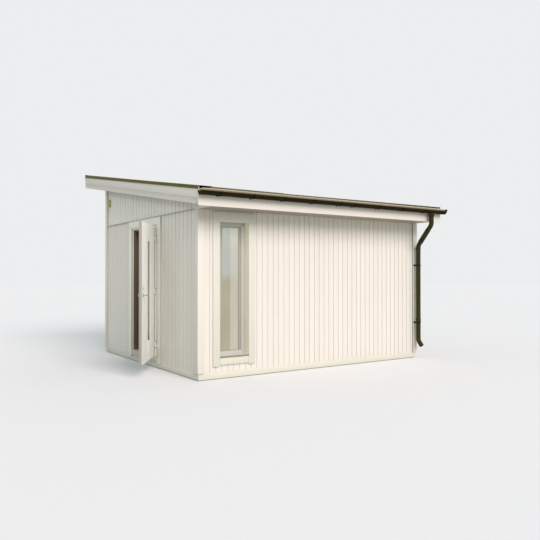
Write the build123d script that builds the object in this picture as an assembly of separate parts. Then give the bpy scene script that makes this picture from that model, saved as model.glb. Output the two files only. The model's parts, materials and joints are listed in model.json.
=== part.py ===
import os

from build123d import *

# Garden cabin with a single-pitch roof, in millimetres.
# X runs along the window wall, Y from the window wall to the high back wall, Z up.
# The origin is the middle of the footprint, on the ground.

# Body, measured over the faces of the corner boards
length = 4140
depth = 3680
wall_thickness = 150
trim_thickness = 22
corner_board_width = 95
board_joint = 1

# Floor
floor_frame_height = 97
floor_board_thickness = 38
skirting_thickness = 22
skirting_ground_gap = 8

# Roof, whose thicknesses are measured straight down from the plane of the flashings
eave_top = 2517
roof_slope = 0.162
front_overhang = 354
back_overhang = 647
side_overhang = 171
covering_drop = 8
covering_thickness = 30
covering_rib_height = 20
covering_rib_pitch = 137.5
covering_rib_top = 24
covering_rib_foot = 52
covering_overhang = 45
eave_flashing_reach = 16
eave_flashing_drip = 20
slab_bottom_drop = 208
side_soffit_thickness = 22
front_soffit_thickness = 14
rake_board_thickness = 22
upper_rake_top_drop = 0
upper_rake_bottom_drop = 154
lower_rake_top_drop = 60
lower_rake_bottom_drop = 236
fascia_thickness = 22
front_fascia_bottom_drop = 247
sheet_metal = 2
rake_flashing_face = 42
rake_flashing_flange = 190
rake_drip_kick = 5
ridge_flashing_face = 90
ridge_flashing_flange = 180
ridge_flashing_rise = 12
ridge_flashing_step = 24

# Upper gable and its drip strip
drip_strip_rise = 10
drip_strip_face = 14
drip_strip_reach = 12

# Door set in the left end wall, placed from the front corner
door_opening_start = 1326
door_opening_width = 1070
door_opening_top = 2168
door_frame_depth = 110
door_frame_face = 42
door_frame_setback = 22
door_sill_top = 180
door_gap = 5
door_free_edge_gap = 7
door_sill_gap = 6
door_stop_cover = 15
door_leaf_thickness = 40
door_leaf_setback = 3
door_angle = 147
threshold_reach = 4
threshold_fall = 12
architrave_width = 122
architrave_cover = 15
architrave_tail = 27
door_head_board_height = 110
door_glass_width = 150
door_glass_height = 1400
door_glass_top_margin = 246
door_glass_thickness = 36
door_bead_width = 16
door_bead_rise = 2

# Lever handle and lock on the leaf
handle_height = 1125
lock_rise = 95
handle_backset = 62
handle_length = 125
handle_bar = 16
handle_reach = 52
handle_bend = 18
spindle_hole = 22
spindle_play = 0.3
turn_gap = 5
turn_thickness = 7
turn_length = 44
turn_width = 22
turn_edge = 2
rose_diameter = 50
rose_thickness = 8
cylinder_diameter = 34
cylinder_thickness = 6
key_core_diameter = 18
key_core_reach = 12

# Hinges
hinge_heights = (360, 1150, 1940)
hinge_pin_diameter = 10
hinge_barrel_diameter = 17
hinge_barrel_length = 45
hinge_pin_play = 0.3
hinge_plate_width = 42
hinge_plate_thickness = 2.5
hinge_pin_stand_off = 7.5
hinge_pin_end_gap = 1
hinge_barrel_cap = 3

# Window in the front wall, placed from the left corner
window_start = 336
window_width = 450
window_bottom = 300
window_top = 2119
lining_thickness = 18
window_frame_setback = 105
window_frame_depth = 60
window_frame_face = 56
window_bead_width = 16
window_bead_thickness = 14
window_glass_setback = 24
window_glass_thickness = 24
casing_width = 106
casing_top_height = 127
casing_bottom_height = 112
casing_tail = 18
sill_thickness = 3
sill_fall = 10
sill_nose_reach = 8
sill_nose_drop = 14

# Gutter and downpipe
gutter_diameter = 125
gutter_straight_side = 14
gutter_wall = 2
gutter_lip_drop = 46
gutter_stand_off = 6
gutter_overrun = 14
gutter_bead = 14
gutter_cap_rim = 2
gutter_cap_thickness = 4
hook_width = 24
hook_thickness = 4
gutter_joint_place = 140
first_hook_start = 90
hook_after_joint = 130
hook_spacing = 495
last_hook_distance = 85
pipe_diameter = 75
pipe_wall = 2.5
pipe_wall_clearance = 33
pipe_corner_distance = 45
outlet_shift = 78
outlet_diameter = 118
outlet_hole_diameter = 90
outlet_height = 70
outlet_overlap = 4
swan_straight = 112
swan_fall = 325
swan_radius = 95
slant_collar_place = 160
shoe_height = 300
shoe_drop = 85
shoe_reach = 70
shoe_radius = 60
lower_collar_rise = 320
upper_collar_drop = 65
collar_height = 40
collar_thickness = 2.5
lower_clip_rise = 285
upper_clip_height = 1545
clip_band_height = 25
clip_band_thickness = 3
clip_stem_diameter = 8

# Vent hood on the upper door gable
vent_width = 82
vent_height = 130
vent_reach = 36
vent_brow_height = 78
vent_top_reach = 16
vent_corner_distance = 152
vent_bottom = 2612
vent_shell = 3

# Faces of the body
left_face = -length / 2
right_face = length / 2
front_face = -depth / 2
back_face = depth / 2
cladding_left = left_face + trim_thickness
cladding_right = right_face - trim_thickness
cladding_front = front_face + trim_thickness
cladding_back = back_face - trim_thickness
inner_left = cladding_left + wall_thickness
inner_right = cladding_right - wall_thickness
inner_front = cladding_front + wall_thickness
inner_back = cladding_back - wall_thickness
skirting_setback = trim_thickness
skirting_back_inset = skirting_setback + skirting_thickness
floor_top = floor_frame_height + floor_board_thickness

# Edges of the roof
roof_front = front_face - front_overhang
roof_back = back_face + back_overhang
roof_left = left_face - side_overhang
roof_right = right_face + side_overhang
slab_left = roof_left + 2 * rake_board_thickness
slab_right = roof_right - 2 * rake_board_thickness
slab_front = roof_front + fascia_thickness
slab_back = roof_back - fascia_thickness
side_soffit_drop = slab_bottom_drop + side_soffit_thickness
fascia_underside = eave_top - front_fascia_bottom_drop
gutter_lip_height = eave_top - gutter_lip_drop
drip_strip_height = fascia_underside + drip_strip_rise


def roof_height(y, drop=0):
    """Height of the roof's top plane at a place, less a drop measured straight down."""
    return eave_top + roof_slope * (y - roof_front) - drop


def box(x_from, x_to, y_from, y_to, z_from, z_to):
    """A plain board or panel between six faces."""
    size = (x_to - x_from, y_to - y_from, z_to - z_from)
    return Pos(x_from, y_from, z_from) * Box(*size, align=(Align.MIN, Align.MIN, Align.MIN))


def along_x(profile, x_from, x_to):
    """A profile of (y, z) points drawn out along the length of the cabin."""
    face = Plane.YZ.offset(x_from) * Polygon(*profile, align=None)
    return extrude(face, x_to - x_from, dir=(1, 0, 0))


def along_y(profile, y_from, y_to):
    """A profile of (x, z) points drawn out from the front towards the back."""
    face = Plane.XZ.offset(-y_from) * Polygon(*profile, align=None)
    return extrude(face, y_to - y_from, dir=(0, 1, 0))


def sloped(x_from, x_to, y_from, y_to, top_drop, bottom_drop):
    """A layer of the roof: plumb ends, with both faces parallel to the roof."""
    profile = [
        (y_from, roof_height(y_from, bottom_drop)),
        (y_to, roof_height(y_to, bottom_drop)),
        (y_to, roof_height(y_to, top_drop)),
        (y_from, roof_height(y_from, top_drop)),
    ]
    return along_x(profile, x_from, x_to)


def wall_under_roof(x_from, x_to, y_from, y_to, z_from):
    """A wall piece whose top is cut to the underside of the roof slab."""
    profile = [
        (y_from, z_from),
        (y_to, z_from),
        (y_to, roof_height(y_to, slab_bottom_drop)),
        (y_from, roof_height(y_from, slab_bottom_drop)),
    ]
    return along_x(profile, x_from, x_to)


def bar_along_z(diameter, x, y, z_from, z_to):
    return Pos(x, y, z_from) * Cylinder(
        diameter / 2, z_to - z_from, align=(Align.CENTER, Align.CENTER, Align.MIN)
    )


def bar_along_x(diameter, x_from, x_to, y, z):
    return Pos(x_from, y, z) * Rot(0, 90, 0) * Cylinder(
        diameter / 2, x_to - x_from, align=(Align.CENTER, Align.CENTER, Align.MIN)
    )


# Floor

def make_floor_cassette():
    inset = skirting_back_inset
    return box(
        left_face + inset, right_face - inset,
        front_face + inset, back_face - inset,
        0, floor_frame_height,
    )


def make_floor_boards():
    return box(
        inner_left, inner_right, inner_front, inner_back, floor_frame_height, floor_top
    )


# Walls

window_left = left_face + window_start
window_right = window_left + window_width
wall_hole_left = window_left - lining_thickness
wall_hole_right = window_right + lining_thickness
wall_hole_bottom = window_bottom - lining_thickness
wall_hole_top = window_top + lining_thickness
door_hole_front = front_face + door_opening_start
door_hole_back = door_hole_front + door_opening_width


def make_front_wall_left():
    return wall_under_roof(
        cladding_left, wall_hole_left, cladding_front, inner_front, floor_frame_height
    )


def make_front_wall_right():
    return wall_under_roof(
        wall_hole_right, cladding_right, cladding_front, inner_front, floor_frame_height
    )


def make_front_wall_over_window():
    return wall_under_roof(
        wall_hole_left, wall_hole_right, cladding_front, inner_front, wall_hole_top
    )


def make_front_wall_under_window():
    return box(
        wall_hole_left, wall_hole_right, cladding_front, inner_front,
        floor_frame_height, wall_hole_bottom,
    )


def make_back_wall():
    return wall_under_roof(
        cladding_left, cladding_right, inner_back, cladding_back, floor_frame_height
    )


def end_wall(x_from, x_to, y_from, y_to, z_from=floor_frame_height):
    return box(x_from, x_to, y_from, y_to, z_from, drip_strip_height)


def make_left_wall_front():
    return end_wall(cladding_left, inner_left, inner_front, door_hole_front)


def make_left_wall_back():
    return end_wall(cladding_left, inner_left, door_hole_back, inner_back)


def make_left_wall_over_door():
    return end_wall(
        cladding_left, inner_left, door_hole_front, door_hole_back, door_opening_top
    )


def make_right_wall():
    return end_wall(inner_right, cladding_right, inner_front, inner_back)


def make_left_gable():
    return wall_under_roof(
        cladding_left, inner_left, inner_front, inner_back, drip_strip_height
    )


def make_right_gable():
    return wall_under_roof(
        inner_right, cladding_right, inner_front, inner_back, drip_strip_height
    )


# Trim on the walls

def make_gable_drip_strips():
    """Folded metal strips that throw the water off the joint under each upper gable."""
    from_y = front_face + corner_board_width + board_joint
    to_y = back_face - corner_board_width - board_joint
    strips = Part()
    for wall, outward in ((cladding_left, -1), (cladding_right, 1)):
        profile = [
            (wall, drip_strip_height),
            (wall + outward * drip_strip_reach, drip_strip_height - sheet_metal),
            (wall + outward * drip_strip_reach, drip_strip_height - drip_strip_face),
            (wall + outward * (drip_strip_reach + sheet_metal), drip_strip_height - drip_strip_face),
            (wall + outward * (drip_strip_reach + sheet_metal), drip_strip_height),
            (wall, drip_strip_height + sheet_metal),
        ]
        strips += along_y(profile, from_y, to_y)
    return strips


def corner_board_pair(x_side, y_side):
    """The two boards that cover one corner, joined as an L."""
    corner_x = left_face if x_side < 0 else right_face
    corner_y = front_face if y_side < 0 else back_face
    along_wall = sorted((corner_x, corner_x - x_side * corner_board_width))
    across_wall = sorted((corner_y, corner_y - y_side * trim_thickness))
    on_long_wall = sorted((corner_x, corner_x - x_side * trim_thickness))
    on_end_wall = sorted((corner_y, corner_y - y_side * corner_board_width))
    if y_side < 0:
        top = fascia_underside
        face_board = box(*along_wall, *across_wall, floor_frame_height, top)
    else:
        face_board = sloped_top_box(*along_wall, *across_wall, floor_frame_height)
    end_board = sloped_top_box(*on_long_wall, *on_end_wall, floor_frame_height)
    if y_side < 0:
        eave_cut = box(
            on_long_wall[0], on_long_wall[1], front_face, cladding_front,
            fascia_underside, eave_top,
        )
        end_board -= eave_cut
    return face_board + end_board


def sloped_top_box(x_from, x_to, y_from, y_to, z_from):
    """A board that stops under the side soffit."""
    profile = [
        (y_from, z_from),
        (y_to, z_from),
        (y_to, roof_height(y_to, side_soffit_drop)),
        (y_from, roof_height(y_from, side_soffit_drop)),
    ]
    return along_x(profile, x_from, x_to)


def make_corner_boards():
    boards = Part()
    for x_side in (-1, 1):
        for y_side in (-1, 1):
            boards += corner_board_pair(x_side, y_side)
    return boards


def make_skirting_boards():
    """Boards over the edge of the floor, butted at the corners with an open joint."""
    outer = skirting_setback
    inner = skirting_back_inset
    low = skirting_ground_gap
    high = floor_frame_height
    boards = Part()
    for y_from, y_to in (
        (front_face + outer, front_face + inner),
        (back_face - inner, back_face - outer),
    ):
        boards += box(left_face + outer, right_face - outer, y_from, y_to, low, high)
    for x_from, x_to in (
        (left_face + outer, left_face + inner),
        (right_face - inner, right_face - outer),
    ):
        boards += box(
            x_from, x_to, front_face + inner + board_joint, back_face - inner - board_joint,
            low, high,
        )
    return boards


# Roof

def make_roof_slab():
    return sloped(
        slab_left, slab_right, slab_front, slab_back,
        covering_drop + covering_thickness, slab_bottom_drop,
    )


def drawn_up_slope(profile, y_from, y_to):
    """A profile of (x, drop) points drawn up the slope, with plumb cuts at both ends."""
    points = [(x, roof_height(y_from, drop)) for x, drop in profile]
    face = Plane.XZ.offset(-y_from) * Polygon(*points, align=None)
    run = y_to - y_from
    return extrude(face, run * (1 + roof_slope**2) ** 0.5, dir=(0, 1, roof_slope))


def make_roof_covering():
    """Profiled sheet, with raised ribs that run up the slope."""
    top = covering_drop
    trough = covering_drop + covering_rib_height
    bottom = covering_drop + covering_thickness
    rib_count = int((slab_right - slab_left) // covering_rib_pitch)
    first_rib = (slab_left + slab_right - (rib_count - 1) * covering_rib_pitch) / 2
    profile = [(slab_right, bottom), (slab_left, bottom), (slab_left, trough)]
    for i in range(rib_count):
        middle = first_rib + i * covering_rib_pitch
        profile += [
            (middle - covering_rib_foot / 2, trough),
            (middle - covering_rib_top / 2, top),
            (middle + covering_rib_top / 2, top),
            (middle + covering_rib_foot / 2, trough),
        ]
    profile.append((slab_right, trough))
    return drawn_up_slope(profile, roof_front - covering_overhang, slab_back)


def make_rake_boards_upper():
    boards = Part()
    for x_from in (roof_left, roof_right - rake_board_thickness):
        boards += sloped(
            x_from, x_from + rake_board_thickness, slab_front, slab_back,
            upper_rake_top_drop, upper_rake_bottom_drop,
        )
    return boards


def make_rake_boards_lower():
    boards = Part()
    for x_from in (roof_left + rake_board_thickness, slab_right):
        boards += sloped(
            x_from, x_from + rake_board_thickness, slab_front, slab_back,
            lower_rake_top_drop, lower_rake_bottom_drop,
        )
    return boards


def make_fascia_boards():
    """Boards along the low and high edges, which cover the ends of the rake boards."""
    top_drop = covering_drop + covering_thickness + sheet_metal
    front = along_x(
        [
            (roof_front, fascia_underside),
            (slab_front, fascia_underside),
            (slab_front, roof_height(slab_front, top_drop)),
            (roof_front, roof_height(roof_front, top_drop)),
        ],
        roof_left, roof_right,
    )
    back = sloped(
        roof_left, roof_right, slab_back, roof_back, covering_drop, lower_rake_bottom_drop
    )
    return front + back


def make_soffit_boards():
    """Front soffit lies level; the side and back soffits follow the slope."""
    front = box(
        slab_left, slab_right, slab_front, cladding_front,
        fascia_underside, fascia_underside + front_soffit_thickness,
    )
    boards = front
    for x_from, x_to in ((slab_left, cladding_left), (cladding_right, slab_right)):
        boards += sloped(
            x_from, x_to, cladding_front + board_joint, cladding_back,
            slab_bottom_drop, side_soffit_drop,
        )
    boards += sloped(
        slab_left, slab_right, cladding_back + board_joint, slab_back,
        slab_bottom_drop, side_soffit_drop,
    )
    return boards


def make_rake_flashings():
    """Folded caps over the rake boards, turned down onto the covering inside."""
    flashings = Part()
    metal = sheet_metal
    for edge, inward in ((roof_left, 1), (roof_right, -1)):
        outside = edge - inward * metal
        inside = edge + inward * rake_flashing_flange
        profile = [
            (outside, -metal),
            (inside, -metal),
            (inside, covering_drop),
            (inside - inward * metal, covering_drop),
            (inside - inward * metal, 0),
            (edge, 0),
            (edge, rake_flashing_face - metal),
            (edge - inward * rake_drip_kick, rake_flashing_face + metal),
            (edge - inward * (rake_drip_kick + metal), rake_flashing_face + metal),
            (outside, rake_flashing_face - 2 * metal),
        ]
        flashings += drawn_up_slope(profile, roof_front, roof_back)
    return flashings


def make_ridge_flashing():
    """Folded cap over the high edge, laid across the rake flashings."""
    metal = sheet_metal
    inner = roof_back - ridge_flashing_flange
    outer = roof_back + metal
    rise = ridge_flashing_rise
    profile = [
        (inner, roof_height(inner, -metal)),
        (inner + ridge_flashing_step, roof_height(inner + ridge_flashing_step, -rise)),
        (outer, roof_height(outer, -rise)),
        (outer, roof_height(roof_back, ridge_flashing_face)),
        (roof_back, roof_height(roof_back, ridge_flashing_face)),
        (roof_back, roof_height(roof_back, metal - rise)),
        (inner + ridge_flashing_step, roof_height(inner + ridge_flashing_step, metal - rise)),
        (inner + metal, roof_height(inner + metal, -metal)),
    ]
    return along_x(profile, roof_left - metal, roof_right + metal)


def make_eave_flashing():
    """Folded drip strip from under the covering down into the gutter."""
    drop = covering_drop + covering_thickness
    front = roof_front - eave_flashing_reach
    drip = gutter_lip_height - eave_flashing_drip
    return along_x(
        [
            (front, roof_height(front, drop)),
            (slab_front, roof_height(slab_front, drop)),
            (slab_front, roof_height(slab_front, drop + sheet_metal)),
            (front + sheet_metal, roof_height(front + sheet_metal, drop + sheet_metal)),
            (front + sheet_metal, drip),
            (front, drip),
        ],
        slab_left, slab_right,
    )


# Gutter, hooks and downpipe

gutter_axis_y = roof_front - gutter_stand_off - gutter_diameter / 2
gutter_axis_z = gutter_lip_height - gutter_straight_side
gutter_left = roof_left - gutter_overrun
gutter_right = roof_right + gutter_overrun


def trough_face(radius, height_over_lip=0):
    """Deep half-round section: a half circle below two straight sides."""
    top = gutter_straight_side + height_over_lip
    with BuildSketch() as sketch:
        with BuildLine():
            Polyline((-radius, 0), (-radius, top), (radius, top), (radius, 0))
            ThreePointArc((radius, 0), (0, -radius), (-radius, 0))
        make_face()
    return sketch.sketch


def gutter_plane(x):
    """Section plane of the gutter, whose x axis points away from the wall."""
    return Plane(origin=(x, gutter_axis_y, gutter_axis_z), x_dir=(0, -1, 0), z_dir=(-1, 0, 0))


def make_gutter():
    outer_radius = gutter_diameter / 2
    run = gutter_right - gutter_left
    body = extrude(gutter_plane(gutter_right) * trough_face(outer_radius), run)
    hollow = extrude(
        gutter_plane(gutter_right - gutter_wall) * trough_face(outer_radius - gutter_wall, 1),
        run - 2 * gutter_wall,
    )
    gutter = body - hollow
    bead_y = gutter_axis_y - outer_radius - gutter_bead / 2 + gutter_wall
    bead = bar_along_x(
        gutter_bead, gutter_left, gutter_right, bead_y, gutter_lip_height - gutter_bead / 2
    )
    gutter += bead - body
    for x in (gutter_right, gutter_left + gutter_cap_thickness):
        gutter += extrude(
            gutter_plane(x) * trough_face(outer_radius + gutter_cap_rim), gutter_cap_thickness
        )
    outlet = bar_along_z(
        outlet_hole_diameter, outlet_x, gutter_axis_y,
        gutter_axis_z - gutter_diameter, gutter_axis_z,
    )
    return gutter - outlet


pipe_x = right_face - pipe_corner_distance
pipe_y = front_face - pipe_wall_clearance - pipe_diameter / 2
outlet_x = pipe_x - outlet_shift


def evenly_spaced_hooks(start, limit):
    count = int((limit - start) // hook_spacing) + 1
    return [start + i * hook_spacing for i in range(count)]


def hook_places():
    """A run of hooks along each of the two lengths of gutter, and one more at the outlet end."""
    last = gutter_right - last_hook_distance
    first_run = evenly_spaced_hooks(left_face + first_hook_start, gutter_joint_place)
    second_run = evenly_spaced_hooks(
        gutter_joint_place + hook_after_joint, last - hook_spacing / 2
    )
    return first_run + second_run + [last]


def make_gutter_hooks():
    """Flat hooks that run under the gutter from the fascia to the front bead."""
    radius = gutter_diameter / 2
    hooks = Part()
    for x in hook_places():
        plane = gutter_plane(x + hook_width / 2)
        outer = extrude(plane * trough_face(radius + hook_thickness), hook_width)
        inner = extrude(plane * trough_face(radius, 1), hook_width)
        back_strip = box(
            x - hook_width / 2, x + hook_width / 2, roof_front - hook_thickness, roof_front,
            gutter_axis_z - radius, gutter_lip_height,
        )
        front_cut = box(
            x - hook_width, x + hook_width, gutter_axis_y - 2 * radius, gutter_axis_y - radius,
            gutter_lip_height - gutter_bead - 1, gutter_lip_height + radius,
        )
        hooks += outer + back_strip - inner - front_cut
    return hooks


swan_route_top = gutter_axis_z - gutter_diameter / 2 - outlet_height
swan_top = swan_route_top - swan_straight
swan_bottom = swan_top - swan_fall
swan_upper_point = Vector(outlet_x, gutter_axis_y, swan_top)
swan_lower_point = Vector(pipe_x, pipe_y, swan_bottom)


def pipe_route():
    """Centre line from the outlet over the swan neck to the shoe."""
    points = [
        (outlet_x, gutter_axis_y, swan_route_top),
        swan_upper_point,
        swan_lower_point,
        (pipe_x, pipe_y, shoe_height),
        (pipe_x, pipe_y - shoe_reach, shoe_height - shoe_drop),
    ]
    return FilletPolyline(*points, radius=[swan_radius, swan_radius, shoe_radius])


def pipe_section(diameter):
    return Plane(origin=(outlet_x, gutter_axis_y, swan_route_top), z_dir=(0, 0, -1)) * Circle(
        diameter / 2
    )


def pipe_collar(plane):
    """The wider socket where one length of pipe is pushed over the next."""
    ring = Circle(pipe_diameter / 2 + collar_thickness) - Circle(pipe_diameter / 2 - pipe_wall / 2)
    return extrude(plane * ring, collar_height)


def make_downpipe():
    route = pipe_route()
    outer = sweep(pipe_section(pipe_diameter), path=route)
    inner = sweep(pipe_section(pipe_diameter - 2 * pipe_wall), path=route)
    funnel_base = Plane(origin=(outlet_x, gutter_axis_y, swan_route_top))
    funnel_top = funnel_base.offset(outlet_height + outlet_overlap)
    funnel = loft([
        funnel_base * Circle(pipe_diameter / 2),
        funnel_top * Circle(outlet_diameter / 2),
    ])
    funnel_hollow = loft([
        funnel_base * Circle(pipe_diameter / 2 - pipe_wall),
        funnel_top * Circle(outlet_diameter / 2 - pipe_wall),
    ])
    trough = extrude(
        gutter_plane(outlet_x + outlet_diameter) * trough_face(gutter_diameter / 2),
        2 * outlet_diameter,
    )
    pipe = (outer - inner) + (funnel - funnel_hollow - trough)
    for z in (shoe_height + lower_collar_rise, swan_bottom - upper_collar_drop):
        pipe += pipe_collar(Plane(origin=(pipe_x, pipe_y, z)))
    slant = (swan_lower_point - swan_upper_point).normalized()
    return pipe + pipe_collar(
        Plane(origin=swan_upper_point + slant * slant_collar_place, z_dir=slant)
    )


def make_pipe_clips():
    """Bands round the pipe, each on a stem screwed to the corner board."""
    clips = Part()
    for z in (shoe_height + lower_clip_rise, upper_clip_height):
        band = bar_along_z(
            pipe_diameter + 2 * clip_band_thickness, pipe_x, pipe_y, z, z + clip_band_height
        )
        band -= bar_along_z(pipe_diameter, pipe_x, pipe_y, z, z + clip_band_height)
        stem = Pos(pipe_x, pipe_y + pipe_diameter / 2 + 1, z + clip_band_height / 2)
        stem *= Rot(-90, 0, 0)
        stem *= Cylinder(
            clip_stem_diameter / 2, pipe_wall_clearance - 1,
            align=(Align.CENTER, Align.CENTER, Align.MIN),
        )
        clips += band + stem
    return clips


# Door set

frame_outer_x = left_face + door_frame_setback
frame_inner_x = frame_outer_x + door_frame_depth
leaf_outer_x = left_face + door_leaf_setback
leaf_inner_x = leaf_outer_x + door_leaf_thickness
stop_x = leaf_inner_x + door_gap
leaf_front = door_hole_front + door_frame_face + door_gap
leaf_back = door_hole_back - door_frame_face - door_free_edge_gap
leaf_top = door_opening_top - door_frame_face - door_gap
leaf_bottom = door_sill_top + door_sill_gap
leaf_middle = (leaf_front + leaf_back) / 2
pin_x = left_face - hinge_pin_stand_off
pin_y = leaf_front - door_gap / 2


def make_door_frame():
    """Rebated jambs and head that the leaf closes against, and a flat sill under it."""
    frame = box(
        frame_outer_x, frame_inner_x, door_hole_front, door_hole_back,
        floor_frame_height, door_opening_top,
    )
    leaf_space = box(
        frame_outer_x, stop_x, door_hole_front + door_frame_face,
        door_hole_back - door_frame_face, door_sill_top, door_opening_top - door_frame_face,
    )
    way_through = box(
        stop_x, frame_inner_x, leaf_front + door_stop_cover, leaf_back - door_stop_cover,
        door_sill_top, leaf_top - door_stop_cover,
    )
    return frame - leaf_space - way_through


def make_door_threshold():
    """Hardwood board in front of the sill, whose top falls outwards and clears the leaf."""
    nose = left_face - threshold_reach
    profile = [
        (nose, floor_frame_height),
        (frame_outer_x, floor_frame_height),
        (frame_outer_x, door_sill_top),
        (nose, door_sill_top - threshold_fall),
    ]
    return along_y(
        profile, door_hole_front + architrave_cover + board_joint,
        door_hole_back - architrave_cover - board_joint,
    )


def make_door_architraves():
    """Two uprights that lap over the skirting, and the head board butted on them."""
    inner_front_edge = door_hole_front + architrave_cover
    inner_back_edge = door_hole_back - architrave_cover
    head_bottom = door_opening_top - architrave_cover
    boards = Part()
    for y_from in (inner_front_edge - architrave_width, inner_back_edge):
        boards += box(
            left_face, cladding_left, y_from, y_from + architrave_width,
            floor_frame_height - architrave_tail, head_bottom - board_joint,
        )
    boards += box(
        left_face, cladding_left, inner_front_edge - architrave_width,
        inner_back_edge + architrave_width, head_bottom, head_bottom + door_head_board_height,
    )
    return boards


glass_bottom = leaf_top - door_glass_top_margin - door_glass_height


def door_bead_ring(x_from, x_to):
    """A raised bead round the narrow glass, on one face of the leaf."""
    reach = door_glass_width / 2 + door_bead_width
    outer = box(
        x_from, x_to, leaf_middle - reach, leaf_middle + reach,
        glass_bottom - door_bead_width, glass_bottom + door_glass_height + door_bead_width,
    )
    hole = box(
        x_from, x_to, leaf_middle - door_glass_width / 2, leaf_middle + door_glass_width / 2,
        glass_bottom, glass_bottom + door_glass_height,
    )
    return outer - hole


def make_door_leaf():
    leaf = box(leaf_outer_x, leaf_inner_x, leaf_front, leaf_back, leaf_bottom, leaf_top)
    slot = box(
        leaf_outer_x, leaf_inner_x,
        leaf_middle - door_glass_width / 2, leaf_middle + door_glass_width / 2,
        glass_bottom, glass_bottom + door_glass_height,
    )
    leaf += door_bead_ring(leaf_outer_x - door_bead_rise, leaf_outer_x)
    leaf += door_bead_ring(leaf_inner_x, leaf_inner_x + door_bead_rise)
    leaf -= slot
    spindle_way = bar_along_x(
        spindle_hole, leaf_outer_x, leaf_inner_x, handle_y, handle_height
    )
    return leaf - spindle_way


def make_door_glass():
    glass_x = leaf_outer_x + (door_leaf_thickness - door_glass_thickness) / 2
    return box(
        glass_x, glass_x + door_glass_thickness,
        leaf_middle - door_glass_width / 2, leaf_middle + door_glass_width / 2,
        glass_bottom, glass_bottom + door_glass_height,
    )


handle_y = leaf_back - handle_backset


def make_door_fittings():
    """Roses round the spindle and the lock cylinder, on both faces."""
    fittings = Part()
    for x_from in (leaf_outer_x - rose_thickness, leaf_inner_x):
        rose = bar_along_x(
            rose_diameter, x_from, x_from + rose_thickness, handle_y, handle_height
        )
        rose -= bar_along_x(
            handle_bar + 2 * spindle_play, x_from, x_from + rose_thickness,
            handle_y, handle_height,
        )
        fittings += rose
    lock_z = handle_height + lock_rise
    for reach, diameter in (
        (cylinder_thickness, cylinder_diameter), (key_core_reach, key_core_diameter)
    ):
        fittings += bar_along_x(diameter, leaf_outer_x - reach, leaf_outer_x, handle_y, lock_z)
        fittings += bar_along_x(diameter, leaf_inner_x, leaf_inner_x + reach, handle_y, lock_z)
    return fittings


def make_door_handle():
    """Outer lever and spindle bent from one round bar, with a flat turn on the inner end."""
    outer_x = leaf_outer_x - rose_thickness - handle_reach + handle_bar / 2
    turn_x = leaf_inner_x + rose_thickness + turn_gap
    tip_y = handle_y - handle_length
    route = FilletPolyline(
        (outer_x, tip_y, handle_height),
        (outer_x, handle_y, handle_height),
        (turn_x + turn_thickness / 2, handle_y, handle_height),
        radius=handle_bend,
    )
    section = Plane(origin=(outer_x, tip_y, handle_height), z_dir=(0, 1, 0))
    handle = sweep(section * Circle(handle_bar / 2), path=route)
    handle += Pos(outer_x, tip_y, handle_height) * Sphere(handle_bar / 2)
    face = Plane(origin=(turn_x, handle_y, handle_height), x_dir=(0, 0, 1), z_dir=(1, 0, 0))
    turn = extrude(face * SlotOverall(turn_length, turn_width), turn_thickness)
    turn = fillet(turn.faces().sort_by(Axis.X)[-1].edges(), turn_edge)
    return handle + turn


def hinge_barrel(z_from, z_to):
    return bar_along_z(hinge_barrel_diameter, pin_x, pin_y, z_from, z_to)


def make_hinge_frame_halves():
    """Lower barrels with their pins, on plates screwed to the architrave."""
    halves = Part()
    plate_edge = door_hole_front + architrave_cover
    for z in hinge_heights:
        half = hinge_barrel(z - hinge_barrel_length, z)
        half += bar_along_z(
            hinge_pin_diameter, pin_x, pin_y, z,
            z + hinge_barrel_length - hinge_barrel_cap - hinge_pin_end_gap,
        )
        half += box(
            left_face - hinge_plate_thickness, left_face,
            plate_edge - hinge_plate_width, plate_edge, z - hinge_barrel_length, z,
        )
        half += box(
            left_face - hinge_plate_thickness, left_face, plate_edge, pin_y,
            z - hinge_barrel_length, z,
        )
        halves += half
    return halves


def make_hinge_leaf_halves():
    """Upper barrels that drop over the pins, on plates screwed to the leaf."""
    halves = Part()
    for z in hinge_heights:
        z_from = z + hinge_pin_play
        half = hinge_barrel(z_from, z + hinge_barrel_length)
        half += box(
            leaf_outer_x - hinge_plate_thickness, leaf_outer_x, pin_y,
            leaf_front + hinge_plate_width, z_from, z + hinge_barrel_length,
        )
        half -= bar_along_z(
            hinge_pin_diameter + 2 * hinge_pin_play, pin_x, pin_y,
            z_from, z + hinge_barrel_length - hinge_barrel_cap,
        )
        halves += half
    return halves


# Window

def ring(x_from, x_to, z_from, z_to, width, y_from, y_to):
    outer = box(x_from, x_to, y_from, y_to, z_from, z_to)
    hole = box(x_from + width, x_to - width, y_from, y_to, z_from + width, z_to - width)
    return outer - hole


def make_window_lining():
    return ring(
        wall_hole_left, wall_hole_right, wall_hole_bottom, wall_hole_top,
        lining_thickness, cladding_front, inner_front,
    )


def make_window_frame():
    """Fixed frame with a glazing bead that holds the sealed unit from outside."""
    frame_front = front_face + window_frame_setback
    frame_back = frame_front + window_frame_depth
    frame = ring(
        window_left, window_right, window_bottom, window_top, window_frame_face,
        frame_front, frame_back,
    )
    glass_front = frame_front + window_glass_setback
    bead = ring(
        window_left + window_frame_face, window_right - window_frame_face,
        window_bottom + window_frame_face, window_top - window_frame_face,
        window_bead_width, glass_front - window_bead_thickness, glass_front,
    )
    return frame + bead


def make_window_glass():
    glass_front = front_face + window_frame_setback + window_glass_setback
    return box(
        window_left + window_frame_face, window_right - window_frame_face,
        glass_front, glass_front + window_glass_thickness,
        window_bottom + window_frame_face, window_top - window_frame_face,
    )


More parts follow.
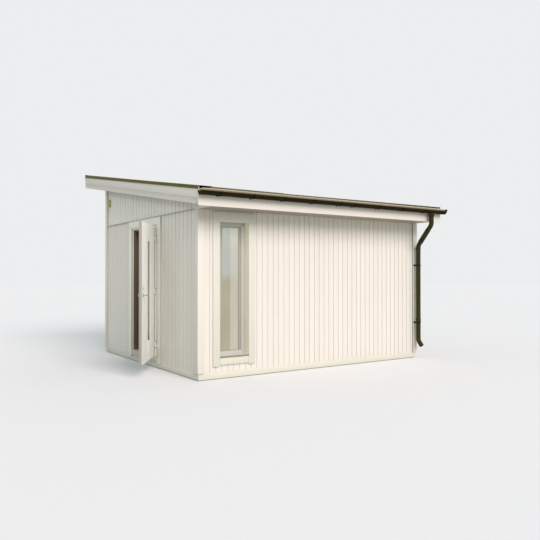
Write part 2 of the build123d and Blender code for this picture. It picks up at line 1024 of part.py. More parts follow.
def make_window_casing():
    """Side boards that run past the bottom board, with a head board across both."""
    outer_left = window_left - casing_width
    outer_right = window_right + casing_width
    bottom = window_bottom - casing_bottom_height
    boards = Part()
    for x_from in (outer_left, window_right):
        boards += box(
            x_from, x_from + casing_width, front_face, cladding_front,
            bottom - casing_tail, window_top - board_joint,
        )
    boards += box(
        outer_left, outer_right, front_face, cladding_front, window_top,
        window_top + casing_top_height,
    )
    boards += box(
        window_left + board_joint, window_right - board_joint, front_face, cladding_front,
        bottom, window_bottom - board_joint,
    )
    return boards


def make_window_sill():
    """Folded metal sill that falls from the frame and turns down over the bottom board."""
    frame_front = front_face + window_frame_setback
    nose = front_face - sill_nose_reach
    profile = [
        (front_face, window_bottom),
        (frame_front, window_bottom),
        (frame_front, window_bottom + sill_fall + sill_thickness),
        (nose, window_bottom + sill_thickness),
        (nose, window_bottom - sill_nose_drop),
        (nose + sheet_metal, window_bottom - sill_nose_drop),
        (nose + sheet_metal, window_bottom),
    ]
    return along_x(profile, window_left, window_right)


# Vent

def make_vent_hood():
    """Sheet-metal hood, open at its underside."""
    y_to = back_face - vent_corner_distance
    y_from = y_to - vent_width
    outer = along_y(
        [
            (cladding_left, vent_bottom),
            (cladding_left - vent_reach, vent_bottom),
            (cladding_left - vent_reach, vent_bottom + vent_brow_height),
            (cladding_left - vent_top_reach, vent_bottom + vent_height),
            (cladding_left, vent_bottom + vent_height),
        ],
        y_from, y_to,
    )
    inner = along_y(
        [
            (cladding_left - vent_shell, vent_bottom),
            (cladding_left - vent_reach + vent_shell, vent_bottom),
            (cladding_left - vent_reach + vent_shell, vent_bottom + vent_brow_height),
            (cladding_left - vent_top_reach, vent_bottom + vent_height - vent_shell),
            (cladding_left - vent_shell, vent_bottom + vent_height - vent_shell),
        ],
        y_from + vent_shell, y_to - vent_shell,
    )
    return outer - inner


def opened(piece):
    """Turn a piece of the door about the hinge pins to the angle it stands open at."""
    about_pins = Pos(pin_x, pin_y, 0) * Rot(0, 0, door_angle) * Pos(-pin_x, -pin_y, 0)
    return about_pins * piece


pieces = {
    "floor_cassette": make_floor_cassette,
    "floor_boards": make_floor_boards,
    "front_wall_left": make_front_wall_left,
    "front_wall_right": make_front_wall_right,
    "front_wall_over_window": make_front_wall_over_window,
    "front_wall_under_window": make_front_wall_under_window,
    "back_wall": make_back_wall,
    "left_wall_front": make_left_wall_front,
    "left_wall_back": make_left_wall_back,
    "left_wall_over_door": make_left_wall_over_door,
    "right_wall": make_right_wall,
    "left_gable": make_left_gable,
    "right_gable": make_right_gable,
    "gable_drip_strips": make_gable_drip_strips,
    "corner_boards": make_corner_boards,
    "skirting_boards": make_skirting_boards,
    "roof_slab": make_roof_slab,
    "roof_covering": make_roof_covering,
    "rake_boards_upper": make_rake_boards_upper,
    "rake_boards_lower": make_rake_boards_lower,
    "fascia_boards": make_fascia_boards,
    "soffit_boards": make_soffit_boards,
    "rake_flashings": make_rake_flashings,
    "ridge_flashing": make_ridge_flashing,
    "eave_flashing": make_eave_flashing,
    "gutter": make_gutter,
    "gutter_hooks": make_gutter_hooks,
    "downpipe": make_downpipe,
    "pipe_clips": make_pipe_clips,
    "door_frame": make_door_frame,
    "door_threshold": make_door_threshold,
    "door_architraves": make_door_architraves,
    "hinge_frame_halves": make_hinge_frame_halves,
    "window_lining": make_window_lining,
    "window_frame": make_window_frame,
    "window_glass": make_window_glass,
    "window_casing": make_window_casing,
    "window_sill": make_window_sill,
    "vent_hood": make_vent_hood,
}

door_pieces = {
    "door_leaf": make_door_leaf,
    "door_glass": make_door_glass,
    "door_fittings": make_door_fittings,
    "hinge_leaf_halves": make_hinge_leaf_halves,
    "door_handle": make_door_handle,
}

os.makedirs("parts", exist_ok=True)
for name, make in pieces.items():
    export_step(make(), f"parts/{name}.step")
for name, make in door_pieces.items():
    export_step(opened(make()), f"parts/{name}.step")

hinge_point = (round(pin_x, 3), round(pin_y, 3))
handle_point = opened(Pos((leaf_outer_x + leaf_inner_x) / 2, handle_y, handle_height)).position
print("hinge axis through", hinge_point)
print("handle axis through", handle_point)
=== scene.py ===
import json
import math

import bmesh
import bpy
from mathutils import Matrix, Vector


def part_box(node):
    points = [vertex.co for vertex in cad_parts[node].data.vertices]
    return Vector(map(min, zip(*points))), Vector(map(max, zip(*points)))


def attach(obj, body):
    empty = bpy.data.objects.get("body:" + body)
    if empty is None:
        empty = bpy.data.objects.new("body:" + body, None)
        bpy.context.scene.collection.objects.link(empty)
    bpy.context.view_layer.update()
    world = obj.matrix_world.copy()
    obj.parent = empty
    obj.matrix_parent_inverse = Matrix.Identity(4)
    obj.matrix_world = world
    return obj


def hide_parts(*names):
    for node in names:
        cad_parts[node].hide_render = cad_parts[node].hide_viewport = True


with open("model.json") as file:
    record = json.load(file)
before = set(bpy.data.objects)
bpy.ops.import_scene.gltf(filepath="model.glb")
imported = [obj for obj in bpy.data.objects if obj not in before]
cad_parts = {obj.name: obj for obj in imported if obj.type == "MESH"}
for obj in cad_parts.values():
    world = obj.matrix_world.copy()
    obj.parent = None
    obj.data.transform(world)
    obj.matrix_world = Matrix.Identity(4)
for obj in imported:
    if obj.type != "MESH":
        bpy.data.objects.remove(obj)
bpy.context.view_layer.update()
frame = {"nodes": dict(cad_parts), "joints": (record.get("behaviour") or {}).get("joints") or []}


# View, floor and daylight.
# The cabin is seen at eye height from in front of its door corner. It stands on a plain pale
# floor, in soft daylight that comes from the front.

camera_lift = 0.00677
camera_turn = 0.59142
camera = bpy.data.objects.new("camera", bpy.data.cameras.new("camera"))
camera.location = (-5.65888, -8.88032, 1.4103)
camera.rotation_euler = (math.pi / 2 + camera_lift, 0, -camera_turn)
camera.data.sensor_width = 36
camera.data.lens = 39.94
camera.data.clip_end = 300
bpy.context.collection.objects.link(camera)
bpy.context.scene.camera = camera
bpy.context.scene.view_settings.view_transform = "Standard"

sun_from_left = math.radians(3)
sun_height = math.radians(35)
daylight = bpy.data.objects.new("daylight", bpy.data.lights.new("daylight", "SUN"))
daylight.data.energy = 2.25
daylight.data.color = (1.0, 0.88, 0.845)
daylight.data.angle = math.radians(36)
daylight.rotation_euler = (math.pi / 2 - sun_height, 0, -sun_from_left)
bpy.context.collection.objects.link(daylight)


class Wire:
    """A value inside a finish. Each operator used on it adds a node to the finish."""

    def __init__(self, finish, socket):
        self.finish = finish
        self.socket = socket

    def maths(self, operation, *others):
        return self.finish.maths(operation, self, *others)

    def __add__(self, other):
        return self.maths("ADD", other)

    __radd__ = __add__

    def __sub__(self, other):
        return self.maths("SUBTRACT", other)

    def __rsub__(self, other):
        return self.finish.maths("SUBTRACT", other, self)

    def __mul__(self, other):
        return self.maths("MULTIPLY", other)

    __rmul__ = __mul__

    def __truediv__(self, other):
        return self.maths("DIVIDE", other)

    def __rtruediv__(self, other):
        return self.finish.maths("DIVIDE", other, self)

    def __lt__(self, other):
        return self.maths("LESS_THAN", other)

    def __gt__(self, other):
        return self.maths("GREATER_THAN", other)

    def ramp(self, start, end):
        """0 below start and 1 past end, even and smooth between them."""
        return self.finish.node(
            "ShaderNodeMapRange", {"interpolation_type": "SMOOTHSTEP"},
            {"Value": self, "From Min": start, "From Max": end},
        )


class Expressions:
    """Values and nodes in the tree of a material or of the sky."""

    def __init__(self, tree):
        self.tree = tree

    def join(self, value, socket):
        if isinstance(value, Wire):
            self.tree.links.new(value.socket, socket)
        elif socket.type == "RGBA":
            socket.default_value = (*value, 1)
        else:
            socket.default_value = value

    def node(self, kind, settings=None, inputs=None, out=0):
        node = self.tree.nodes.new(kind)
        for name, value in (settings or {}).items():
            setattr(node, name, value)
        for name, value in (inputs or {}).items():
            self.join(value, node.inputs[name])
        return Wire(self, node.outputs[out])

    def maths(self, operation, *values):
        return self.node("ShaderNodeMath", {"operation": operation}, dict(enumerate(values)))

    def seen_directly(self):
        """1 for what is seen straight on, mirrored or through glass, and 0 for its light."""
        seen = self.node("ShaderNodeLightPath", out="Is Camera Ray")
        for ray in ("Is Glossy Ray", "Is Transmission Ray"):
            seen = seen + self.node("ShaderNodeLightPath", out=ray)
        return seen


class Finish(Expressions):
    """A material, written as expressions on places in the cabin's own frame, in metres."""

    def __init__(self, name):
        self.material = bpy.data.materials.new(name)
        self.material.use_nodes = True
        super().__init__(self.material.node_tree)
        self.shader = self.tree.nodes["Principled BSDF"]
        self.place = self.node("ShaderNodeTexCoord", out="Object")

    def part(self, axis):
        return self.node("ShaderNodeSeparateXYZ", inputs={0: self.place}, out="XYZ".index(axis))

    def speckle(self, across, along=None, axis="Z", detail=3):
        """Noise of so many marks a metre, drawn out along one axis where along is given."""
        scale = [across] * 3
        if along:
            scale["XYZ".index(axis)] = along
        stretched = self.node(
            "ShaderNodeVectorMath", {"operation": "MULTIPLY"}, {0: self.place, 1: scale}
        )
        return self.node(
            "ShaderNodeTexNoise", inputs={"Vector": stretched, "Scale": 1, "Detail": detail}
        )

    def chance(self, number):
        """A random value for each whole number."""
        return self.node("ShaderNodeTexWhiteNoise", {"noise_dimensions": "1D"}, {"W": number})

    def blend(self, amount, first, second):
        return self.node(
            "ShaderNodeMix", {"data_type": "RGBA"}, {0: amount, 6: first, 7: second}, out=2
        )

    def shade(self, colour, tone):
        """A colour made lighter or darker by a varying value."""
        return self.node(
            "ShaderNodeVectorMath", {"operation": "SCALE"}, {0: colour, "Scale": tone}
        )

    def surface(self, colour, roughness, relief=None, depth=0.001, **fixed):
        self.join(colour, self.shader.inputs["Base Color"])
        self.join(roughness, self.shader.inputs["Roughness"])
        for name, value in fixed.items():
            self.shader.inputs[name.replace("_", " ")].default_value = value
        if relief:
            bump = self.node("ShaderNodeBump", inputs={"Height": relief, "Distance": depth})
            self.join(bump, self.shader.inputs["Normal"])
        return self.material


backdrop_tone = (0.84, 0.85, 0.86)
floor_bounce = (0.46, 0.45, 0.41)
floor_reach = 60

pale_floor = Finish("pale_floor")
floor_tone = pale_floor.blend(pale_floor.seen_directly(), floor_bounce, backdrop_tone)
pale_floor.surface(floor_tone, roughness=0.9)

floor_mesh = bpy.data.meshes.new("floor")
floor_mesh.from_pydata(
    [(x * floor_reach, y * floor_reach, 0) for x, y in ((-1, -1), (1, -1), (1, 1), (-1, 1))],
    [], [(0, 1, 2, 3)],
)
floor_mesh.materials.append(pale_floor.material)
floor = bpy.data.objects.new("floor", floor_mesh)
bpy.context.collection.objects.link(floor)

sky_strength = 0.64
sky_colour = (0.93, 1.0, 1.02)

world = bpy.data.worlds.new("sky")
world.use_nodes = True
bpy.context.scene.world = world
sky = Expressions(world.node_tree)
dome, plain = [
    sky.node("ShaderNodeBackground", inputs={"Color": colour, "Strength": strength})
    for colour, strength in ((sky_colour, sky_strength), (backdrop_tone, 1))
]
choice = sky.node("ShaderNodeMixShader", inputs={0: sky.seen_directly(), 1: dome, 2: plain})
sky.join(choice, sky.tree.nodes["World Output"].inputs["Surface"])


# Cladding on the walls and the upper gables.
# Upright tongued boards, planed and painted off-white, nailed to battens. Each board shows a
# narrow rebate where it meets the next. Inside, the walls are lined with dark stained boards.

front_board_cover = 0.0929
front_board_start = 0.0936
end_board_cover = 0.12365
end_board_start = 0.1165
rebate_width = 0.012
rebate_depth = 0.009
rebate_slant = 0.002
longest_wall = 6
face_slack = 0.001
roof_slope = 0.162
cladding_colour = (0.86, 0.83, 0.765)
end_cladding_colour = (0.87, 0.857, 0.80)
# painted light: the upper gables' paint is paler than the walls' to lift the shade under the rake
gable_lightened_colour = (0.95, 0.945, 0.865)
lining_colour = (0.085, 0.055, 0.035)

trim_thickness = 0.022
corner_low, corner_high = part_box("corner_boards")
wall_front, wall_back = corner_low.y + trim_thickness, corner_high.y - trim_thickness
wall_left, wall_right = corner_low.x + trim_thickness, corner_high.x - trim_thickness

paint_sheen = 0.42
dust_colour = (0.62, 0.56, 0.46)
dust_heights = (0.02, 0.42)
# painted shade in the board rebates: the depths over which it fades in, then its strength on each
# wall
rebate_shade_depths = (0.0008, 0.006)
front_rebate_shade = 0.11
end_rebate_shade = 0.42
# painted shade under the roof: where it starts, where it is full, and how dark it gets
painted_shade_from = 0.155
painted_shade_full = 0.085
painted_shade_darkness = 0.14


def painted_wood(name, colour, axis="Z", boards=None, face=None, painted_shade_line=None):
    """Satin paint over planed wood, with faint grain, uneven gloss and a little dust at the foot.

    Where asked for, each board has its own tone, painted shade darkens the rebates behind a face,
    and painted shade darkens the wall in a band under the slope of the roof.
    """
    finish = Finish(name)
    grain = finish.speckle(220, 5, axis, detail=4)
    cloud = finish.speckle(1.3)
    height = finish.part("Z")
    tone = grain * 0.06 + cloud * 0.05 + 0.945
    if boards:
        across, start, cover = boards
        chance = finish.chance(((finish.part(across) - start) / cover).maths("FLOOR"))
        tone = tone + (chance - 0.5) * 0.035
    # painted shade: the rebates behind an outdoor face are darkened, standing in for their shadow
    if face:
        crossing, reach, dark = face
        shaded_rebate = (reach - finish.part(crossing).maths("ABSOLUTE")).ramp(*rebate_shade_depths)
        tone = tone * (1 - shaded_rebate * dark)
    # painted shade: the wall is darkened in a band under the slope of the roof
    if painted_shade_line:
        level = height - finish.part("Y") * roof_slope
        painted_eave_shade = level.ramp(painted_shade_line - painted_shade_from, painted_shade_line - painted_shade_full)
        tone = tone * (1 - painted_eave_shade * painted_shade_darkness)
    dust = (1 - height.ramp(*dust_heights)) * cloud.ramp(0.35, 0.75) * 0.16
    base = finish.blend(dust, finish.shade(colour, tone), dust_colour)
    rough = grain * 0.12 + (1 - paint_sheen)
    return finish.surface(base, rough, relief=grain * 0.5 + cloud * 0.2, depth=0.0006)


board_phase = 10


def stained_boards(name, colour, axis="Z", across="Y", cover=0.095):
    """Dark stained matchboard, each board of its own tone, with open grain."""
    finish = Finish(name)
    grain = finish.speckle(160, 3, axis, detail=6)
    place = (finish.part(across) + board_phase) / cover
    chance = finish.chance(place.maths("FLOOR"))
    joint = place.maths("FRACT").maths("PINGPONG", 0.5).ramp(0.0, 0.05)
    tone = (grain * 0.9 + chance * 0.5 + 0.35) * (joint * 0.6 + 0.4)
    return finish.surface(
        finish.shade(colour, tone), roughness=0.55, relief=joint + grain * 0.2, depth=0.002
    )


front_boards = ("X", corner_low.x + front_board_start, front_board_cover)
end_boards = ("Y", corner_low.y + end_board_start, end_board_cover)
front_rebate_shading = ("Y", wall_back, front_rebate_shade)
end_rebate_shading = ("X", wall_right, end_rebate_shade)
long_wall_paint = painted_wood(
    "long_wall_paint", cladding_colour, boards=front_boards, face=front_rebate_shading
)
end_wall_paint = painted_wood(
    "end_wall_paint", end_cladding_colour, boards=end_boards, face=end_rebate_shading
)
gable_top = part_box("left_gable")[1]
gable_paint = painted_wood(
    "gable_paint", gable_lightened_colour, boards=end_boards, face=end_rebate_shading,
    painted_shade_line=gable_top.z - gable_top.y * roof_slope,
)
wall_linings = {
    "X": stained_boards("wall_lining_long", lining_colour, across="X"),
    "Y": stained_boards("wall_lining_end", lining_colour, across="Y"),
}


crease_angle = math.radians(30)
lining_index = 2


def make_piece(name, build, materials):
    """A shown piece from a finished build, shaded smooth except across its creases."""
    bmesh.ops.recalc_face_normals(build, faces=build.faces)
    mesh = bpy.data.meshes.new(name)
    build.to_mesh(mesh)
    build.free()
    mesh.shade_smooth()
    mesh.set_sharp_from_angle(angle=crease_angle)
    for material in materials:
        mesh.materials.append(material)
    piece = bpy.data.objects.new(name, mesh)
    bpy.context.collection.objects.link(piece)
    return piece


def boarded_panel(build, low, high, sloping):
    """A wall panel. Each side that faces outdoors has a rebate at every board joint, and nails."""

    def top(y):
        return high.z - roof_slope * (high.y - y) if sloping else high.z

    sides = (
        ((low.x, low.y), (1, 0), (0, 1), high.x - low.x, low.y < wall_front + face_slack),
        ((high.x, low.y), (0, 1), (-1, 0), high.y - low.y, high.x > wall_right - face_slack),
        ((high.x, high.y), (-1, 0), (0, -1), high.x - low.x, high.y > wall_back - face_slack),
        ((low.x, high.y), (0, -1), (1, 0), high.y - low.y, low.x < wall_left + face_slack),
    )
    outline, kinds = [], []
    half = rebate_width / 2
    for number, (start, along, inward, length, outdoors) in enumerate(sides):
        start, along, inward = Vector(start), Vector(along), Vector(inward)
        points = [start]
        crosswise = number % 2
        if outdoors:
            first, cover = (end_boards if crosswise else front_boards)[1:]
            begin, sense = start[crosswise], along.x + along.y
            counts = range(-2, int(longest_wall / cover))
            joints = sorted((first + k * cover - begin) * sense for k in counts)
            joints = [d for d in joints if rebate_width < d < length - rebate_width]
            for d in joints:
                points += [
                    start + along * (d - half),
                    start + along * (d - half + rebate_slant) + inward * rebate_depth,
                    start + along * (d + half - rebate_slant) + inward * rebate_depth,
                    start + along * (d + half),
                ]
            nail_boards(build, [0] + joints + [length], start, along, inward, low.z, top)
        outline += points
        kinds += [crosswise if outdoors else lining_index] * len(points)
    lower = [build.verts.new((p.x, p.y, low.z)) for p in outline]
    upper = [build.verts.new((p.x, p.y, top(p.y))) for p in outline]
    for i, kind in enumerate(kinds):
        j = (i + 1) % len(outline)
        build.faces.new((lower[i], lower[j], upper[j], upper[i])).material_index = kind
    build.faces.new(lower[::-1]).material_index = lining_index
    build.faces.new(upper).material_index = lining_index


nail_rows = (0.16, 0.70, 1.24, 1.78, 2.22, 2.62, 3.02)
nail_shift = 0.012
nail_clearance = 0.03
narrowest_nailed = 0.05
nail_sides = 8
nail_head = 0.0035
nail_rise = 0.0007
nail_sunk = 0.0004


def nail_boards(build, edges, start, along, inward, foot, top):
    """A nail in each board at every batten, a little to either side of its middle in turn."""
    for a, b in zip(edges, edges[1:]):
        if b - a < narrowest_nailed:
            continue
        for row, z in enumerate(nail_rows):
            shift = nail_shift if row % 2 else -nail_shift
            middle = start + along * ((a + b) / 2 + shift)
            if foot + nail_clearance < z < top(middle.y) - nail_clearance:
                add_nail(build, middle, z, along, inward)


def add_nail(build, place, z, along, inward):
    """A painted-over nail head: a low many-sided dome, closed behind the board's face."""
    dome = (
        (nail_head, nail_sunk), (nail_head, -nail_rise * 0.5), (nail_head * 0.6, -nail_rise)
    )
    rings = []
    for radius, depth in dome:
        ring = []
        for k in range(nail_sides):
            turn = 2 * math.pi * k / nail_sides
            flat = place + along * radius * math.cos(turn) + inward * depth
            ring.append(build.verts.new((flat.x, flat.y, z + radius * math.sin(turn))))
        rings.append(ring)
    for inner, outer in zip(rings, rings[1:]):
        for k in range(nail_sides):
            build.faces.new((inner[k], inner[k - 1], outer[k - 1], outer[k]))
    build.faces.new(rings[0])
    build.faces.new(rings[-1][::-1])


walls = {
    "front_wall_left": True, "front_wall_right": True, "front_wall_over_window": True,
    "front_wall_under_window": False, "back_wall": True, "left_wall_front": False,
    "left_wall_back": False, "left_wall_over_door": False, "left_gable": True,
    "right_wall": False, "right_gable": True,
}
for node, sloping in walls.items():
    lining = wall_linings["X" if node.startswith(("front", "back")) else "Y"]
    panel = bmesh.new()
    boarded_panel(panel, *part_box(node), sloping)
    end_paint = gable_paint if node.endswith("gable") else end_wall_paint
    clad = make_piece("clad_" + node, panel, [long_wall_paint, end_paint, lining])
    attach(clad, "cabin")
    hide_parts(node)


# Corner boards and skirting boards.
# Planed boards with eased edges. Two are nailed over each corner, in the paint of the cladding,
# the one on the long wall lapping the other. Four creamier ones hide the floor's edges.

trim_colour = (0.77, 0.775, 0.68)
# painted shade: the corner boards' flanks take these darker colours, for the shade at their sides
flank_shade_colour = (0.36, 0.365, 0.32)
end_flank_shade_colour = (0.66, 0.655, 0.59)
corner_width = 0.095
edge_ease = 0.002
joint_gap = 0.0008
mostly_facing = 0.7
slab_thickness = 0.170
soffit_thickness = 0.022

trim_paints = {axis: painted_wood("trim_paint_" + axis, trim_colour, axis) for axis in "XZ"}
corner_paint = painted_wood("corner_board_paint", cladding_colour)
flank_shade_paint = painted_wood("board_flank_shade_paint", flank_shade_colour)
end_flank_shade_paint = painted_wood("end_board_flank_shade_paint", end_flank_shade_colour)


def add_board(build, axis, outline, start, end, ease=edge_ease, material=0):
    """A board with eased edges: an outline drawn out along an axis of the cabin."""
    order = {"X": (2, 0, 1), "Y": (0, 2, 1), "Z": (0, 1, 2)}[axis]

    def place(a, b, c):
        values = (a, b, c)
        return Vector([values[i] for i in order])

    lower = [build.verts.new(place(a, b, start)) for a, b in outline]
    upper = [build.verts.new(place(a, b, end)) for a, b in outline]
    faces = [build.faces.new(lower), build.faces.new(upper[::-1])]
    for i in range(len(outline)):
        j = (i + 1) % len(outline)
        faces.append(build.faces.new((lower[j], lower[i], upper[i], upper[j])))
    for face in faces:
        face.material_index = material
    bmesh.ops.recalc_face_normals(build, faces=faces)
    if ease:
        edges = list(dict.fromkeys(edge for face in faces for edge in face.edges))
        bmesh.ops.bevel(
            build, geom=edges, offset=ease, segments=2, affect="EDGES", profile=0.5,
            material=-1,
        )


def oblong(a_from, a_to, b_from, b_to):
    return [(a_from, b_from), (a_to, b_from), (a_to, b_to), (a_from, b_to)]


def slab_underside(y, extra=0.0):
    """Height of the underside of the roof slab over a place, less a drop."""
    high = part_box("roof_slab")[1]
    return high.z - slab_thickness - roof_slope * (high.y - y) - extra


def up_to_soffit(y_from, y_to, foot):
    """Outline of a board with a level foot, cut to the slope of the soffit above it."""
    return [
        (y_from, foot), (y_to, foot),
        (y_to, slab_underside(y_to, soffit_thickness)),
        (y_from, slab_underside(y_from, soffit_thickness)),
    ]


fascia_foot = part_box("fascia_boards")[0].z
skirting_low, skirting_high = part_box("skirting_boards")
boards = bmesh.new()
for x_side in (-1, 1):
    outer_x = corner_low.x if x_side < 0 else corner_high.x
    across = sorted((outer_x, outer_x - x_side * corner_width))
    depth_x = sorted((outer_x, outer_x - x_side * trim_thickness))
    for y_side in (-1, 1):
        outer_y = corner_low.y if y_side < 0 else corner_high.y
        inner_y = outer_y - y_side * trim_thickness
        far_y = outer_y - y_side * corner_width
        face_y = sorted((outer_y, inner_y))
        if y_side < 0:
            face_outline = oblong(*face_y, skirting_high.z, fascia_foot)
        else:
            face_outline = up_to_soffit(*face_y, skirting_high.z)
        add_board(boards, "X", face_outline, *across)
        end_y = sorted((inner_y - y_side * joint_gap, far_y))
        add_board(boards, "X", up_to_soffit(*end_y, skirting_high.z), *depth_x)
flank_reach = (
    corner_high.x - corner_width + face_slack, corner_high.y - corner_width + face_slack
)
# painted shade: faces on the flanks of the boards take the darker colours
for face in boards.faces:
    middle, normal = face.calc_center_median(), face.normal
    flank_x = abs(normal.x) > mostly_facing and abs(middle.x) < flank_reach[0]
    flank_y = abs(normal.y) > mostly_facing and abs(middle.y) < flank_reach[1]
    face.material_index = 1 if flank_x else 2 if flank_y else 0
corner_trim = make_piece("corner_trim", boards, [corner_paint, flank_shade_paint, end_flank_shade_paint])
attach(corner_trim, "cabin")
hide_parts("corner_boards")

boards = bmesh.new()
for y_from in (skirting_low.y, skirting_high.y - trim_thickness):
    add_board(
        boards, "X", oblong(y_from, y_from + trim_thickness, skirting_low.z, skirting_high.z),
        skirting_low.x, skirting_high.x,
    )
for x_from in (skirting_low.x, skirting_high.x - trim_thickness):
    add_board(
        boards, "Y", oblong(x_from, x_from + trim_thickness, skirting_low.z, skirting_high.z),
        skirting_low.y + trim_thickness + joint_gap, skirting_high.y - trim_thickness - joint_gap,
    )
skirting = make_piece("skirting", boards, [trim_paints["X"]])
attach(skirting, "cabin")
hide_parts("skirting_boards")


# Drip strips under the upper gables.
# Folded steel strips, coated the off-white of the walls' shade side, tucked behind the upper
# cladding so that its water runs clear of the boards below.


def coated_metal(name, colour, worn=(0.30, 0.27, 0.20), shine=0.5, gloss=0.4, mottle=0.35):
    """Factory-coated sheet: a fine mottled coat that dulls in patches where rain has dried."""
    finish = Finish(name)
    fine_share = 0.25
    fine = finish.speckle(420, detail=2)
    cloud = finish.speckle(3.1, detail=4)
    patches = cloud.ramp(0.45, 0.72)
    tone = fine * fine_share + cloud * mottle + (1 - fine_share / 2 - mottle / 2)
    base = finish.blend(patches * 0.12, finish.shade(colour, tone), worn)
    rough = patches * 0.16 + (1 - shine)
    return finish.surface(base, rough, relief=fine, depth=0.0002, Specular_IOR_Level=gloss)


strip_colour = (0.50, 0.46, 0.37)
strip_worn = (0.4, 0.36, 0.28)


def coat_node(node, material):
    """One material on a solid that is shown as it is."""
    solid = frame["nodes"][node]
    solid.data.materials.clear()
    solid.data.materials.append(material)


coat_node("gable_drip_strips", coated_metal(
    "drip_strip_coat", strip_colour, strip_worn, mottle=0.1
))


# Floor.
# A closed insulated cassette with a treated sheet under it, and planed floor boards laid
# across it inside the walls, oiled and darkened with use.

floor_board_cover = 0.12
floor_joint = 0.0015
floor_colour = (0.24, 0.16, 0.10)
underside_colour = (0.42, 0.34, 0.24)
underside_sheet_width = 0.6

floor_low, floor_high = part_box("floor_boards")
row_count = math.ceil((floor_high.y - floor_low.y) / floor_board_cover)
boards = bmesh.new()
for row in range(row_count):
    y_from = floor_low.y + row * floor_board_cover
    y_to = min(y_from + floor_board_cover - floor_joint, floor_high.y)
    outline = oblong(y_from, y_to, floor_low.z, floor_high.z)
    add_board(boards, "X", outline, floor_low.x, floor_high.x, ease=0.001)
floor_oil = stained_boards("floor_board_oil", floor_colour, "X", "Y", floor_board_cover)
inner_floor = make_piece("planked_floor", boards, [floor_oil])
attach(inner_floor, "cabin")
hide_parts("floor_boards")

coat_node("floor_cassette", stained_boards(
    "floor_underside_sheet", underside_colour, "X", "Y", underside_sheet_width
))


# Roof slab, soffits, fascias and rake boards.
# A closed insulated panel with a boarded ceiling. Painted boards are nailed round its edges and
# under its overhangs, with open joints in the soffits and a board across each end of the eave.

eave_boards = 3
side_soffit_boards = 2
back_soffit_boards = 6
soffit_joint = 0.005
eave_soffit_thickness = 0.014
soffit_colour = (0.40, 0.37, 0.30)
rake_thickness = 0.022
rake_drops = {"rake_boards_upper": (0.0, 0.154), "rake_boards_lower": (0.060, 0.236)}
front_fascia_drop = 0.040
back_fascia_drops = (0.008, 0.236)
fascia_colour = (0.92, 0.885, 0.815)
rake_colour = (0.84, 0.83, 0.77)
ceiling_colour = (0.30, 0.22, 0.15)
ceiling_board_cover = 0.11
flashings_above_slab = 0.038

coat_node("roof_slab", stained_boards(
    "ceiling_boards", ceiling_colour, "Y", "X", ceiling_board_cover
))
fascia_paint = painted_wood("fascia_paint", fascia_colour, "X")
rake_paint = painted_wood("rake_paint", rake_colour, "Y")
slab_low, slab_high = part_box("roof_slab")
roof_plane_at_back = slab_high.z + flashings_above_slab


def roof_height(y, drop=0.0):
    """Height of the plane of the roof's flashings over a place, less a drop."""
    return roof_plane_at_back - roof_slope * (slab_high.y - y) - drop


def rake_outline(y_from, y_to, top_drop, bottom_drop):
    """Outline of a board that follows the roof, between two drops below its plane."""
    return [
        (y_from, roof_height(y_from, bottom_drop)), (y_to, roof_height(y_to, bottom_drop)),
        (y_to, roof_height(y_to, top_drop)), (y_from, roof_height(y_from, top_drop)),
    ]


for node, drops in rake_drops.items():
    low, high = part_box(node)
    boards = bmesh.new()
    for x_from in (low.x, high.x - rake_thickness):
        outline = rake_outline(low.y, high.y, *drops)
        add_board(boards, "X", outline, x_from, x_from + rake_thickness)
    rakes = make_piece("eased_" + node, boards, [rake_paint])
    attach(rakes, "cabin")
    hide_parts(node)

low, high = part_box("fascia_boards")
boards = bmesh.new()
inner_y = low.y + rake_thickness
front_outline = [
    (low.y, low.z), (inner_y, low.z), (inner_y, roof_height(inner_y, front_fascia_drop)),
    (low.y, roof_height(low.y, front_fascia_drop)),
]
add_board(boards, "X", front_outline, low.x, high.x)
back_outline = rake_outline(high.y - rake_thickness, high.y, *back_fascia_drops)
add_board(boards, "X", back_outline, low.x, high.x)
fascias = make_piece("fascias", boards, [fascia_paint])
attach(fascias, "cabin")
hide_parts("fascia_boards")


def soffit_outline(y_from, y_to):
    """Outline of a soffit board nailed up against the slab."""
    return [
        (y_from, slab_underside(y_from, soffit_thickness)),
        (y_to, slab_underside(y_to, soffit_thickness)),
        (y_to, slab_underside(y_to)), (y_from, slab_underside(y_from)),
    ]


low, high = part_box("soffit_boards")
boards = bmesh.new()
eave_step = (wall_front - low.y) / eave_boards
eave_levels = (fascia_foot, fascia_foot + eave_soffit_thickness)
for i in range(eave_boards):
    y_from = low.y + i * eave_step
    outline = oblong(y_from, y_from + eave_step - soffit_joint, *eave_levels)
    add_board(boards, "X", outline, wall_left, wall_right)
for x_from, x_to in ((low.x, wall_left), (wall_right, high.x)):
    step = (x_to - x_from) / side_soffit_boards
    for i in range(side_soffit_boards):
        edge = x_from + i * step
        outline = soffit_outline(low.y, wall_back)
        add_board(boards, "X", outline, edge, edge + step - soffit_joint)
for x_from in (wall_left - trim_thickness, wall_right):
    box_end = [
        (low.y, fascia_foot), (wall_front - joint_gap, fascia_foot),
        (wall_front - joint_gap, slab_underside(wall_front, soffit_thickness + joint_gap)),
        (low.y, slab_underside(low.y, soffit_thickness + joint_gap)),
    ]
    add_board(boards, "X", box_end, x_from, x_from + trim_thickness, material=1)
back_step = (high.y - wall_back) / back_soffit_boards
for i in range(back_soffit_boards):
    y_from = wall_back + i * back_step + joint_gap
    outline = soffit_outline(y_from, y_from + back_step - soffit_joint)
    add_board(boards, "X", outline, low.x, high.x)
soffit_paint = painted_wood("soffit_paint", soffit_colour, "X")
soffits = make_piece("soffits", boards, [soffit_paint, corner_paint])
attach(soffits, "cabin")
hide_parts("soffit_boards")


